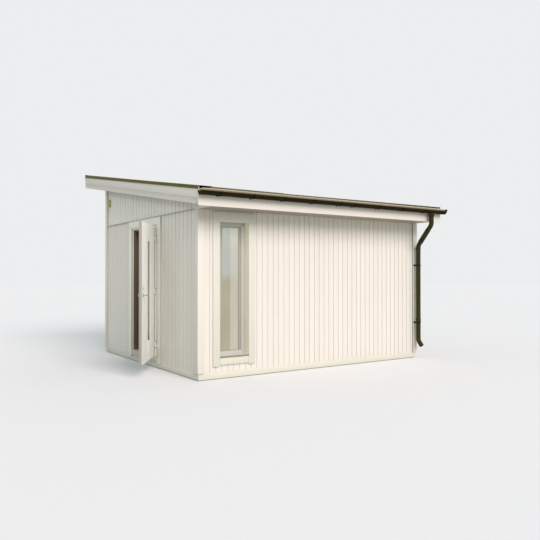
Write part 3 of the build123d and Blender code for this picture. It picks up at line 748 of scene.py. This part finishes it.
# Roof covering and its screws.
# Profiled steel sheet in a matt dark grey-green, with trapezoid ribs up the slope. Screws with
# sealing washers hold every second rib to the battens, and rain has left streaks down it.

sheet_colour = (0.085, 0.092, 0.062)
streak_colour = (0.17, 0.18, 0.14)
rib_pitch = 0.1375
screw_rows = (-2.12, -1.35, -0.55, 0.25, 1.05, 1.85, 2.35)
washer_radius = 0.009
screw_head_radius = 0.005
rib_top_drop = 0.008
screw_profile = (
    (washer_radius, -0.0004), (washer_radius, 0.0012),
    (screw_head_radius * 1.2, 0.0018), (screw_head_radius, 0.0018),
    (screw_head_radius, 0.0052), (screw_head_radius * 0.8, 0.0060),
)
zinc_colour = (0.42, 0.42, 0.40)

sheet = Finish("roof_sheet_coat")
streaks = sheet.speckle(42, 0.9, "Y", detail=4)
fine = sheet.speckle(500, detail=1)
cloud = sheet.speckle(2.2)
amount = streaks.ramp(0.42, 0.75) * 0.55
clean = sheet.shade(sheet_colour, fine * 0.5 + cloud * 0.5 + 0.5)
sheet_base = sheet.blend(amount, clean, streak_colour)
coat_node("roof_covering", sheet.surface(
    sheet_base, streaks * 0.25 + 0.4, relief=fine, depth=0.0003
))

screw_finish = Finish("zinc_screw")
screw_cloud = screw_finish.speckle(900)
screw_finish.surface(
    screw_finish.shade(zinc_colour, screw_cloud * 0.5 + 0.7), screw_cloud * 0.2 + 0.35,
    Metallic=0.8,
)


disc_sides = 12


def add_disc(build, centre, axis, profile):
    """A small turned part: (radius, height) pairs about an axis, closed at both ends."""
    turn = axis.to_track_quat("Z", "Y")
    rings = []
    for radius, height in profile:
        ring = []
        for k in range(disc_sides):
            angle = 2 * math.pi * k / disc_sides
            offset = turn @ Vector((radius * math.cos(angle), radius * math.sin(angle), height))
            ring.append(build.verts.new(centre + offset))
        rings.append(ring)
    for inner, outer in zip(rings, rings[1:]):
        for k in range(disc_sides):
            build.faces.new((inner[k - 1], inner[k], outer[k], outer[k - 1]))
    build.faces.new(rings[0][::-1])
    build.faces.new(rings[-1])


rib_count = int((slab_high.x - slab_low.x) / rib_pitch)
first_rib = (slab_low.x + slab_high.x - (rib_count - 1) * rib_pitch) / 2
roof_normal = Vector((0, -roof_slope, 1)).normalized()
screws = bmesh.new()
for rib in range(1, rib_count - 1, 2):
    for y in screw_rows:
        centre = Vector((first_rib + rib * rib_pitch, y, roof_height(y, rib_top_drop)))
        add_disc(screws, centre, roof_normal, screw_profile)
roof_screws = make_piece("roof_screws", screws, [screw_finish.material])
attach(roof_screws, "cabin")


# Flashings at the rakes, the high edge and the eave.
# Folded steel, coated olive brown, capping the boards. Each laps the one below it.

flashing_colour = (0.130, 0.116, 0.024)
flashing_worn = (0.17, 0.15, 0.05)

flashing_coat = coated_metal("flashing_coat", flashing_colour, flashing_worn, gloss=0.1)
for node in ("rake_flashings", "ridge_flashing", "eave_flashing"):
    coat_node(node, flashing_coat)


# Gutter, hooks, downpipe and clips.
# A half-round coated steel gutter with a rolled front bead, carried by flat steel hooks, and a
# round downpipe pushed together from three lengths, banded to the corner board.

gutter_colour = (0.020, 0.016, 0.004)
# painted highlight along the gutter's front bead: its colour, how far down it reaches, its gap at
# the right end
gutter_highlight_colour = (0.62, 0.53, 0.38)
highlight_depth = 0.032
highlight_stop = 0.055
front_reach = 0.030
cap_thickness = 0.0016
strap_from = 1.982
strap_to = 2.052
strap_drop = 0.0125
strap_half_width = 0.013
strap_thickness = 0.003
strap_ease = 0.0006
strap_screw_margins = (0.012, 0.008)
strap_screw_profile = ((0.0045, -0.0002), (0.0045, 0.0012), (0.0028, 0.0022))
black_colour = (0.008, 0.008, 0.007)
black_worn = (0.02, 0.02, 0.016)
hook_colour = (0.008, 0.008, 0.006)
pipe_colour = (0.038, 0.034, 0.007)
pipe_worn = (0.07, 0.06, 0.02)
pipe_radius = 0.0365
sleeve_radius = 0.0410
sleeve_sides = 40
rolled_edge = ((0.0, 0.001), (0.003, 0.002), (0.006, 0.001), (0.008, 0.0))
neck_sleeve_start = 0.125
neck_sleeve_length = 0.275
pipe_sleeve_feet = (1.822, 0.620)
pipe_sleeve_length = 0.042
neck_top = Vector((1.947, -2.2625, 2.2125))
neck_foot = Vector((2.025, -1.9105, 1.8875))

gutter_low, gutter_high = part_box("gutter")


def highlighted_bead_coat(name, colour, most):
    """Dark coated steel with a painted highlight on the top of its front bead and its left end
    cap.
    """
    finish = Finish(name)
    fine = finish.speckle(420, detail=2)
    cloud = finish.speckle(4.0)
    place = finish.part("X")
    edge = finish.part("Z").ramp(gutter_high.z - highlight_depth, gutter_high.z - highlight_depth / 3)
    front = (finish.part("Y") < gutter_low.y + front_reach) * (place < gutter_high.x - highlight_stop)
    cap = place < gutter_low.x + cap_thickness
    base = finish.blend(
        edge * front.maths("MAXIMUM", cap) * most,
        finish.shade(colour, fine * 0.4 + cloud * 0.6 + 0.5),
        finish.shade(gutter_highlight_colour, cloud * 0.3 + 0.85),
    )
    return finish.surface(
        base, cloud * 0.2 + 0.5, relief=fine, depth=0.0002, Specular_IOR_Level=0.05
    )


black_coat = coated_metal("black_coat", black_colour, black_worn, gloss=0.1)
pipe_coat = coated_metal("downpipe_coat", pipe_colour, pipe_worn, shine=0.78, gloss=0.12)
# the gutter and its hooks carry the painted highlight along the top of the front
coat_node("gutter", highlighted_bead_coat("gutter_coat", gutter_colour, most=0.95))
coat_node("gutter_hooks", highlighted_bead_coat("hook_coat", hook_colour, most=0.75))
coat_node("downpipe", pipe_coat)
coat_node("pipe_clips", black_coat)


def add_sleeve(build, start, axis, length):
    """A length of pipe pushed over another, with a rolled edge at each end."""
    turn = axis.to_track_quat("Z", "Y")
    foot = [(sleeve_radius + rise, step) for step, rise in rolled_edge]
    head = [(sleeve_radius + rise, length - step) for step, rise in reversed(rolled_edge)]
    loop = [(pipe_radius, 0.0)] + foot + head + [(pipe_radius, length)]
    rings = []
    for k in range(sleeve_sides):
        angle = 2 * math.pi * k / sleeve_sides
        around = Vector((math.cos(angle), math.sin(angle), 0))
        rings.append([
            build.verts.new(start + turn @ (around * radius + Vector((0, 0, height))))
            for radius, height in loop
        ])
    for k in range(sleeve_sides):
        for i in range(len(loop)):
            j = (i + 1) % len(loop)
            build.faces.new((rings[k - 1][i], rings[k][i], rings[k][j], rings[k - 1][j]))


sleeves = bmesh.new()
slant = (neck_foot - neck_top).normalized()
add_sleeve(sleeves, neck_top + slant * neck_sleeve_start, slant, neck_sleeve_length)
for z in pipe_sleeve_feet:
    foot = Vector((neck_foot.x, neck_foot.y, z))
    add_sleeve(sleeves, foot, Vector((0, 0, 1)), pipe_sleeve_length)
pipe_sleeves = make_piece("pipe_sleeves", sleeves, [pipe_coat])
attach(pipe_sleeves, "cabin")

clip_low, clip_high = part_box("pipe_clips")
strap_face = corner_low.y - strap_thickness
screw_places = (strap_from + strap_screw_margins[0], strap_to - strap_screw_margins[1])
straps = bmesh.new()
for strap_height in (clip_low.z + strap_drop, clip_high.z - strap_drop):
    plate = oblong(
        strap_face, corner_low.y,
        strap_height - strap_half_width, strap_height + strap_half_width,
    )
    add_board(straps, "X", plate, strap_from, strap_to, strap_ease)
    for x in screw_places:
        centre = Vector((x, strap_face, strap_height))
        add_disc(straps, centre, Vector((0, -1, 0)), strap_screw_profile)
clip_straps = make_piece("clip_straps", straps, [black_coat])
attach(clip_straps, "cabin")


# Door frame, threshold and architraves.
# A rebated softwood frame, white outside, its stops dark brown for painted shade, with a thin lip
# up the hinge side. A hardwood threshold lies before it; flat boards cover the cladding's edge.

frame_face = 0.042
stop_depth = 0.026
stop_reach = 0.020
architrave_width = 0.122
head_board_height = 0.110
painted_edge = 0.012
lip_thickness = 0.004
lip_reach = 0.036
lip_reach_at_hinge = 0.016
lip_end_gap = 0.004
lip_ease = 0.0008
threshold_fall = 0.012
hinge_heights = (0.360, 1.150, 1.940)
hinge_half_length = 0.051
stop_shade_colour = (0.16, 0.115, 0.080)
threshold_colour = (0.66, 0.58, 0.50)
joinery_colour = (0.95, 0.91, 0.82)
lip_colour = (0.98, 0.985, 0.95)
architrave_colour = (1.0, 0.98, 0.89)
# painted shade: the architraves' edges that face front or back take this darker colour
architrave_edge_shade_colour = (0.55, 0.54, 0.46)

joinery_paint = painted_wood("joinery_paint", joinery_colour)
lip_paint = painted_wood("lip_paint", lip_colour)
# painted shade: the frame's inner part and stops are dark brown, for the shade in the doorway
stop_shade = stained_boards("door_stop_shade", stop_shade_colour, across="Y", cover=0.06)
jamb_low, jamb_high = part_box("door_frame")
sill_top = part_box("door_threshold")[1].z
stop_x = jamb_low.x + stop_depth
boards = bmesh.new()
for y_from, y_to, reach in (
    (jamb_low.y, jamb_low.y + frame_face, stop_reach),
    (jamb_high.y - frame_face, jamb_high.y, -stop_reach),
):
    painted_x = jamb_low.x + painted_edge
    add_board(boards, "Z", oblong(jamb_low.x, painted_x, y_from, y_to), sill_top, jamb_high.z)
    add_board(
        boards, "Z", oblong(painted_x, stop_x, y_from, y_to), sill_top, jamb_high.z,
        ease=0, material=1,
    )
    stop_from, stop_to = (y_from, y_to + reach) if reach > 0 else (y_from + reach, y_to)
    add_board(
        boards, "Z", oblong(stop_x, jamb_high.x, stop_from, stop_to), sill_top, jamb_high.z,
        material=1,
    )
clear_from, clear_to = jamb_low.y + frame_face, jamb_high.y - frame_face
add_board(
    boards, "Y", oblong(jamb_low.x, stop_x, jamb_high.z - frame_face, jamb_high.z),
    clear_from, clear_to,
)
add_board(
    boards, "Y", oblong(stop_x, jamb_high.x, jamb_high.z - frame_face - stop_reach, jamb_high.z),
    clear_from + stop_reach, clear_to - stop_reach, material=1,
)
add_board(
    boards, "Y", oblong(jamb_low.x, jamb_high.x, jamb_low.z, sill_top),
    jamb_low.y, jamb_high.y, material=2,
)
threshold_oil = Finish("threshold_oil")
fibre = threshold_oil.speckle(260, 8, "Y", detail=5)
tread = threshold_oil.speckle(9)
threshold_oil.surface(
    threshold_oil.shade(threshold_colour, fibre * 0.3 + tread * 0.25 + 0.72), fibre * 0.2 + 0.4,
    relief=fibre, depth=0.0005,
)
door_set = make_piece("door_lining", boards, [joinery_paint, stop_shade, threshold_oil.material])
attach(door_set, "cabin")
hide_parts("door_frame")

lip = bmesh.new()
lip_y = jamb_low.y + frame_face + joint_gap
lip_ends = [sill_top + lip_end_gap]
for hinge_height in hinge_heights:
    lip_ends += [hinge_height - hinge_half_length, hinge_height + hinge_half_length]
lip_ends.append(jamb_high.z - frame_face - lip_end_gap)
for i, (z_from, z_to) in enumerate(zip(lip_ends, lip_ends[1:])):
    reach = lip_reach_at_hinge if i % 2 else lip_reach
    outline = oblong(jamb_low.x - reach, jamb_low.x, lip_y, lip_y + lip_thickness)
    add_board(lip, "Z", outline, z_from, z_to, lip_ease)
frame_lip = make_piece("hinge_side_lip", lip, [lip_paint])
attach(frame_lip, "cabin")

low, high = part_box("door_threshold")
boards = bmesh.new()
tread_outline = [
    (low.x, low.z), (high.x, low.z), (high.x, high.z), (low.x, high.z - threshold_fall)
]
add_board(boards, "Y", tread_outline, low.y, high.y, ease=0.003)
threshold = make_piece("threshold_board", boards, [threshold_oil.material])
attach(threshold, "cabin")
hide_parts("door_threshold")

low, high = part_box("door_architraves")
head_foot = high.z - head_board_height
boards = bmesh.new()
for y_from in (low.y, high.y - architrave_width):
    add_board(
        boards, "Z", oblong(low.x, high.x, y_from, y_from + architrave_width),
        low.z, head_foot - joint_gap,
    )
add_board(boards, "Y", oblong(low.x, high.x, head_foot, high.z), low.y, high.y)
architrave_paint = painted_wood("architrave_paint", architrave_colour)
architrave_edge_shade_paint = painted_wood("architrave_edge_shade_paint", architrave_edge_shade_colour)
boards.normal_update()
# painted shade on the edges facing front or back
for face in boards.faces:
    face.material_index = int(abs(face.normal.y) > mostly_facing)
architraves = make_piece("door_surround", boards, [architrave_paint, architrave_edge_shade_paint])
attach(architraves, "cabin")
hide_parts("door_architraves")


# Door leaf, its glass, roses, lever and hinges.
# An insulated leaf faced with upright grooved boards and painted white, with one narrow sealed
# pane held by raised beads. It hangs on three lift-off hinges and stands open.

door_angle = math.radians(147)
leaf_groove = 0.004
leaf_groove_depth = 0.003
leaf_set_back = 0.003
hinge_side_inset = 0.047
lock_side_inset = 0.049
leaf_ease = 0.0006
leaf_colour = (0.95, 0.975, 0.955)
# painted shade: the leaf's edges take this darker colour
leaf_edge_shade_colour = (0.385, 0.38, 0.325)
leaf_edge_slack = 0.0005
centre_joint = 0.001
bead_ease = 0.0008
bead_width = 0.016
bead_rise = 0.002
slot_width = 0.150
slot_height = 1.400
slot_top_margin = 0.246
leaf_thickness = 0.040

hinge = next(joint for joint in frame["joints"] if joint["name"] == "door_hinge")
pin = Vector(hinge["pos_m"])
pin.z = 0
opened = Matrix.Translation(pin) @ Matrix.Rotation(door_angle, 4, "Z") @ Matrix.Translation(-pin)

low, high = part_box("door_leaf")
leaf_low = Vector((corner_low.x + leaf_set_back, jamb_low.y + hinge_side_inset, low.z))
leaf_high = Vector((leaf_low.x + leaf_thickness, jamb_high.y - lock_side_inset, high.z))
leaf_middle = (leaf_low.y + leaf_high.y) / 2
pane_top = leaf_high.z - slot_top_margin
pane_foot = pane_top - slot_height
centre_half = slot_width / 2 + bead_width
board_step = (leaf_high.y - leaf_middle - centre_half) / 4


def grooved_outline(y_from, y_to, grooves):
    """Plan outline of part of the leaf, with fine V grooves in its outer face."""
    points = [(leaf_low.x, y_from)]
    for y in grooves:
        points += [
            (leaf_low.x, y - leaf_groove / 2), (leaf_low.x + leaf_groove_depth, y),
            (leaf_low.x, y + leaf_groove / 2),
        ]
    return points + [(leaf_low.x, y_to), (leaf_high.x, y_to), (leaf_high.x, y_from)]


leaf_paint = painted_wood("leaf_paint", leaf_colour)
leaf_edge_shade_paint = painted_wood("leaf_edge_shade_paint", leaf_edge_shade_colour)
leaf = bmesh.new()
left_grooves = [leaf_low.y + board_step * k for k in (1, 2, 3)]
right_grooves = [leaf_high.y - board_step * k for k in (3, 2, 1)]
centre_from, centre_to = leaf_middle - centre_half, leaf_middle + centre_half
stile_from, stile_to = centre_from + centre_joint, centre_to - centre_joint
pane_from, pane_to = leaf_middle - slot_width / 2, leaf_middle + slot_width / 2
for plan, z_from, z_to in (
    (grooved_outline(leaf_low.y, centre_from, left_grooves), leaf_low.z, leaf_high.z),
    (grooved_outline(centre_to, leaf_high.y, right_grooves), leaf_low.z, leaf_high.z),
    (oblong(leaf_low.x, leaf_high.x, stile_from, stile_to), leaf_low.z, pane_foot),
    (oblong(leaf_low.x, leaf_high.x, stile_from, stile_to), pane_top, leaf_high.z),
    (oblong(leaf_low.x, leaf_high.x, stile_from, pane_from), pane_foot, pane_top),
    (oblong(leaf_low.x, leaf_high.x, pane_to, stile_to), pane_foot, pane_top),
):
    add_board(leaf, "Z", plan, z_from, z_to, leaf_ease)
bead_depths = ((leaf_low.x - bead_rise, leaf_low.x), (leaf_high.x, leaf_high.x + bead_rise))
for x_from, x_to in bead_depths:
    for y_from in (pane_from - bead_width, pane_to):
        plan = oblong(x_from, x_to, y_from, y_from + bead_width)
        add_board(leaf, "Z", plan, pane_foot - bead_width, pane_top + bead_width, bead_ease)
    for z_from in (pane_foot - bead_width, pane_top):
        section = oblong(x_from, x_to, z_from, z_from + bead_width)
        add_board(leaf, "Y", section, pane_from, pane_to, bead_ease)
# painted shade on the leaf's hinge and lock edges
edge_reach = (leaf_high.y - leaf_low.y) / 2 - leaf_edge_slack
for face in leaf.faces:
    middle = face.calc_center_median().y
    face.material_index = int(abs(middle - leaf_middle) > edge_reach)
bmesh.ops.transform(leaf, matrix=opened, verts=leaf.verts)
leaf_piece = make_piece("boarded_leaf", leaf, [leaf_paint, leaf_edge_shade_paint])
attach(leaf_piece, "door")
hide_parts("door_leaf")


# painted reflections on the glass: a change of tint with height, a pale upright band, a paler top
reflection_fade = (-0.06, 0.14)
reflected_band_softness = 0.006
reflected_band_share = 0.45
eave_reflection_gain = 0.55
door_tint, door_reflected_foot_tint = (0.30, 0.31, 0.24), (0.10, 0.11, 0.05)
steel_colour = (0.50, 0.48, 0.47)
hinge_colour, hinge_worn = (0.92, 0.92, 0.88), (0.7, 0.68, 0.62)


def sealed_glass(name, tint, reflected_foot_tint, change, cover, gloss, reflected_band=None, painted_reflection=None):
    """A sealed unit under a thin film of dust, with painted reflections on it.

    A painted reflection makes it duller and warmer below the height of a change. Where asked for,
    a painted reflection adds a pale upright band past an edge, and one of the eave lightens it
    higher up.
    """
    finish = Finish(name)
    film = finish.speckle(2.4, detail=5)
    smear = finish.speckle(35, 2.5, "Z")
    tone = film * 0.16 + smear * 0.07 + 0.89
    # painted reflection: the tint changes with height
    height = (finish.part("Z") + film * 0.2).ramp(*(change + shift for shift in reflection_fade))
    finish.join(film * 0.06 + cover, finish.shader.inputs["Alpha"])
    colour = finish.shade(finish.blend(height, reflected_foot_tint, tint), tone)
    if reflected_band:
        edge, band_colour = reflected_band
        # painted reflection: a pale upright band past an edge
        band_mask = finish.part("X").ramp(edge - reflected_band_softness, edge + reflected_band_softness) * reflected_band_share
        colour = finish.blend(band_mask, colour, finish.shade(band_colour, smear * 0.2 + 0.9))
    if painted_reflection:
        # painted reflection of the eave: the pane is lighter higher up
        colour = finish.shade(colour, finish.part("Z").ramp(*painted_reflection) * eave_reflection_gain + 1)
    return finish.surface(colour, film * 0.05 + 0.04, Specular_IOR_Level=gloss)


coat_node("door_glass", sealed_glass(
    "door_pane", door_tint, door_reflected_foot_tint, change=0.62, cover=0.92, gloss=0.02
))

satin_steel = Finish("satin_steel")
brushing = satin_steel.speckle(900, 60, "Y")
satin_steel.surface(
    satin_steel.shade(steel_colour, brushing * 0.3 + 0.85), brushing * 0.15 + 0.3,
    relief=brushing, depth=0.0001, Metallic=1.0,
)
for node in ("door_fittings", "door_handle"):
    coat_node(node, satin_steel.material)

hinge_coat = coated_metal("hinge_coat", hinge_colour, hinge_worn, mottle=0.08)
for node in ("hinge_frame_halves", "hinge_leaf_halves"):
    coat_node(node, hinge_coat)


# Window lining, frame, glass, casing and sill.
# A tall fixed light, glazed from outside with square beads. Painted boards line the opening
# and case it, the side boards running down past the bottom one, over a folded metal sill.

lining_thickness = 0.018
casing_width = 0.106
casing_top = 0.127
casing_tail = 0.018
casing_bottom = 0.112
frame_member = 0.056
window_ease = 0.0015
glazing_rise = 0.014
bead_upright = 0.036
bead_rail = 0.010
# painted reflections on the window pane: the band's edge and colour, the eave's heights, the tints
reflected_band_edge = -1.504
reflected_band_colour = (0.69, 0.70, 0.64)
eave_reflection_heights = (1.66, 2.10)
pane_tint, pane_reflected_foot_tint = (0.50, 0.545, 0.52), (0.435, 0.42, 0.32)
window_colour = (0.97, 0.90, 0.735)
# painted shade: the sash and its glazing beads are coloured darker, as they look in the shade of
# the recess
sash_shade_colour = (0.52, 0.545, 0.515)
glazing_bead_shade_colour = (0.41, 0.39, 0.325)
sill_drip = 0.010
sill_colour = (0.64, 0.62, 0.56)
sill_drip_colour = (0.24, 0.17, 0.09)

window_paint = painted_wood("window_paint", window_colour)
sash_shade_paint = painted_wood("sash_shade_paint", sash_shade_colour)
bead_shade_paint = painted_wood("glazing_bead_shade_paint", glazing_bead_shade_colour)


def add_ring(build, low, high, width, rail, material=0):
    """Four boards round an opening in the window wall, uprights running through."""
    for x_from in (low.x, high.x - width):
        outline = oblong(x_from, x_from + width, low.y, high.y)
        add_board(build, "Z", outline, low.z, high.z, window_ease, material)
    for z_from in (low.z, high.z - rail):
        outline = oblong(low.y, high.y, z_from, z_from + rail)
        add_board(build, "X", outline, low.x + width, high.x - width, window_ease, material)


low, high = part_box("window_lining")
boards = bmesh.new()
add_ring(boards, low, high, lining_thickness, lining_thickness)
lining = make_piece("opening_lining", boards, [window_paint])
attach(lining, "cabin")
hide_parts("window_lining")

low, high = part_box("window_frame")
glass_low, glass_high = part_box("window_glass")
boards = bmesh.new()
add_ring(boards, low, high, frame_member, frame_member)
bead_low = Vector((glass_low.x, glass_low.y - glazing_rise, glass_low.z))
bead_high = Vector((glass_high.x, glass_low.y, glass_high.z))
add_ring(boards, bead_low, bead_high, bead_upright, bead_rail, material=1)
sash = make_piece("glazed_frame", boards, [sash_shade_paint, bead_shade_paint])
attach(sash, "cabin")
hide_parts("window_frame")

coat_node("window_glass", sealed_glass(
    "window_pane", pane_tint, pane_reflected_foot_tint, change=1.40, cover=0.90, gloss=0.12,
    reflected_band=(reflected_band_edge, reflected_band_colour), painted_reflection=eave_reflection_heights,
))

low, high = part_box("window_casing")
boards = bmesh.new()
window_top = high.z - casing_top
window_foot = low.z + casing_tail + casing_bottom
for x_from in (low.x, high.x - casing_width):
    outline = oblong(x_from, x_from + casing_width, low.y, high.y)
    add_board(boards, "Z", outline, low.z, window_top - joint_gap)
add_board(boards, "X", oblong(low.y, high.y, window_top, high.z), low.x, high.x)
add_board(
    boards, "X", oblong(low.y, high.y, low.z + casing_tail, window_foot - joint_gap),
    low.x + casing_width + joint_gap, high.x - casing_width - joint_gap,
)
casing = make_piece("window_surround", boards, [trim_paints["Z"]])
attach(casing, "cabin")
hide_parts("window_casing")

sill_coat = Finish("sill_coat")
fine = sill_coat.speckle(420, detail=2)
cloud = sill_coat.speckle(3.1, detail=4)
rain = sill_coat.part("Y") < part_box("window_sill")[0].y + sill_drip
sill_base = sill_coat.blend(
    rain * 0.85, sill_coat.shade(sill_colour, cloud * 0.2 + 0.9),
    sill_coat.shade(sill_drip_colour, fine * 0.3 + 0.85),
)
coat_node("window_sill", sill_coat.surface(
    sill_base, cloud * 0.2 + 0.4, relief=fine, depth=0.0002
))


# Vent hood.
# A small pressed steel hood over the room's outlet, open below and coated in a pale olive.

vent_colour = (0.50, 0.455, 0.20)

coat_node("vent_hood", coated_metal("vent_coat", vent_colour))
